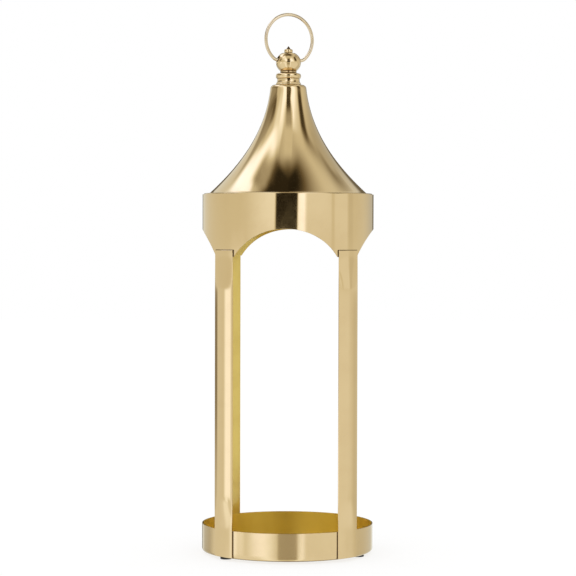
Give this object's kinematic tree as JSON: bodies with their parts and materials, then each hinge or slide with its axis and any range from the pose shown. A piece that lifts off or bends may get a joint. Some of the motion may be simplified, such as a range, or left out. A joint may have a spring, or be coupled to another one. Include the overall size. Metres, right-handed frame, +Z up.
{
  "type": "lantern",
  "caption": "Open metal candle lantern with a shallow round tray, straight legs, an arched band, a flared spun roof and a ball finial that holds a swinging carry ring.",
  "frame": {"origin": "on the ground under the middle of the lantern, level with the undersides of the pads", "axes": "+Z up along the finial, -Y towards the front arch, +X to the right of someone who faces the front"},
  "size_m": [0.176, 0.176, 0.5559],
  "materials": {
    "polished_brass": "polished, clear lacquer",
    "satin_brass": "satin, brushed round the wall",
    "zinc_steel": "zinc plated",
    "pad": "matt"
  },
  "bodies": {
    "lantern": {"pad_1": "pad", "pad_2": "pad", "pad_3": "pad", "base_pan": "satin_brass", "leg_front_left": "polished_brass", "leg_front_right": "polished_brass", "leg_rear_right": "polished_brass", "leg_rear_left": "polished_brass", "crown_band": "polished_brass", "roof": "polished_brass", "roof_washer": "zinc_steel", "roof_nut": "zinc_steel", "finial_stud": "zinc_steel", "neck_collar": "polished_brass", "ball_spacer": "polished_brass", "ball": "polished_brass", "tip_nut": "polished_brass"},
    "ring": {"carry_ring": "polished_brass"}
  },
  "joints": [
    {"name": "ring_swing", "type": "hinge", "parent": "lantern", "child": "ring", "pos_m": [0, 0, 0.50753], "axis": [0.9063, 0.4226, 0], "range_deg": [-150, 150]}
  ]
}
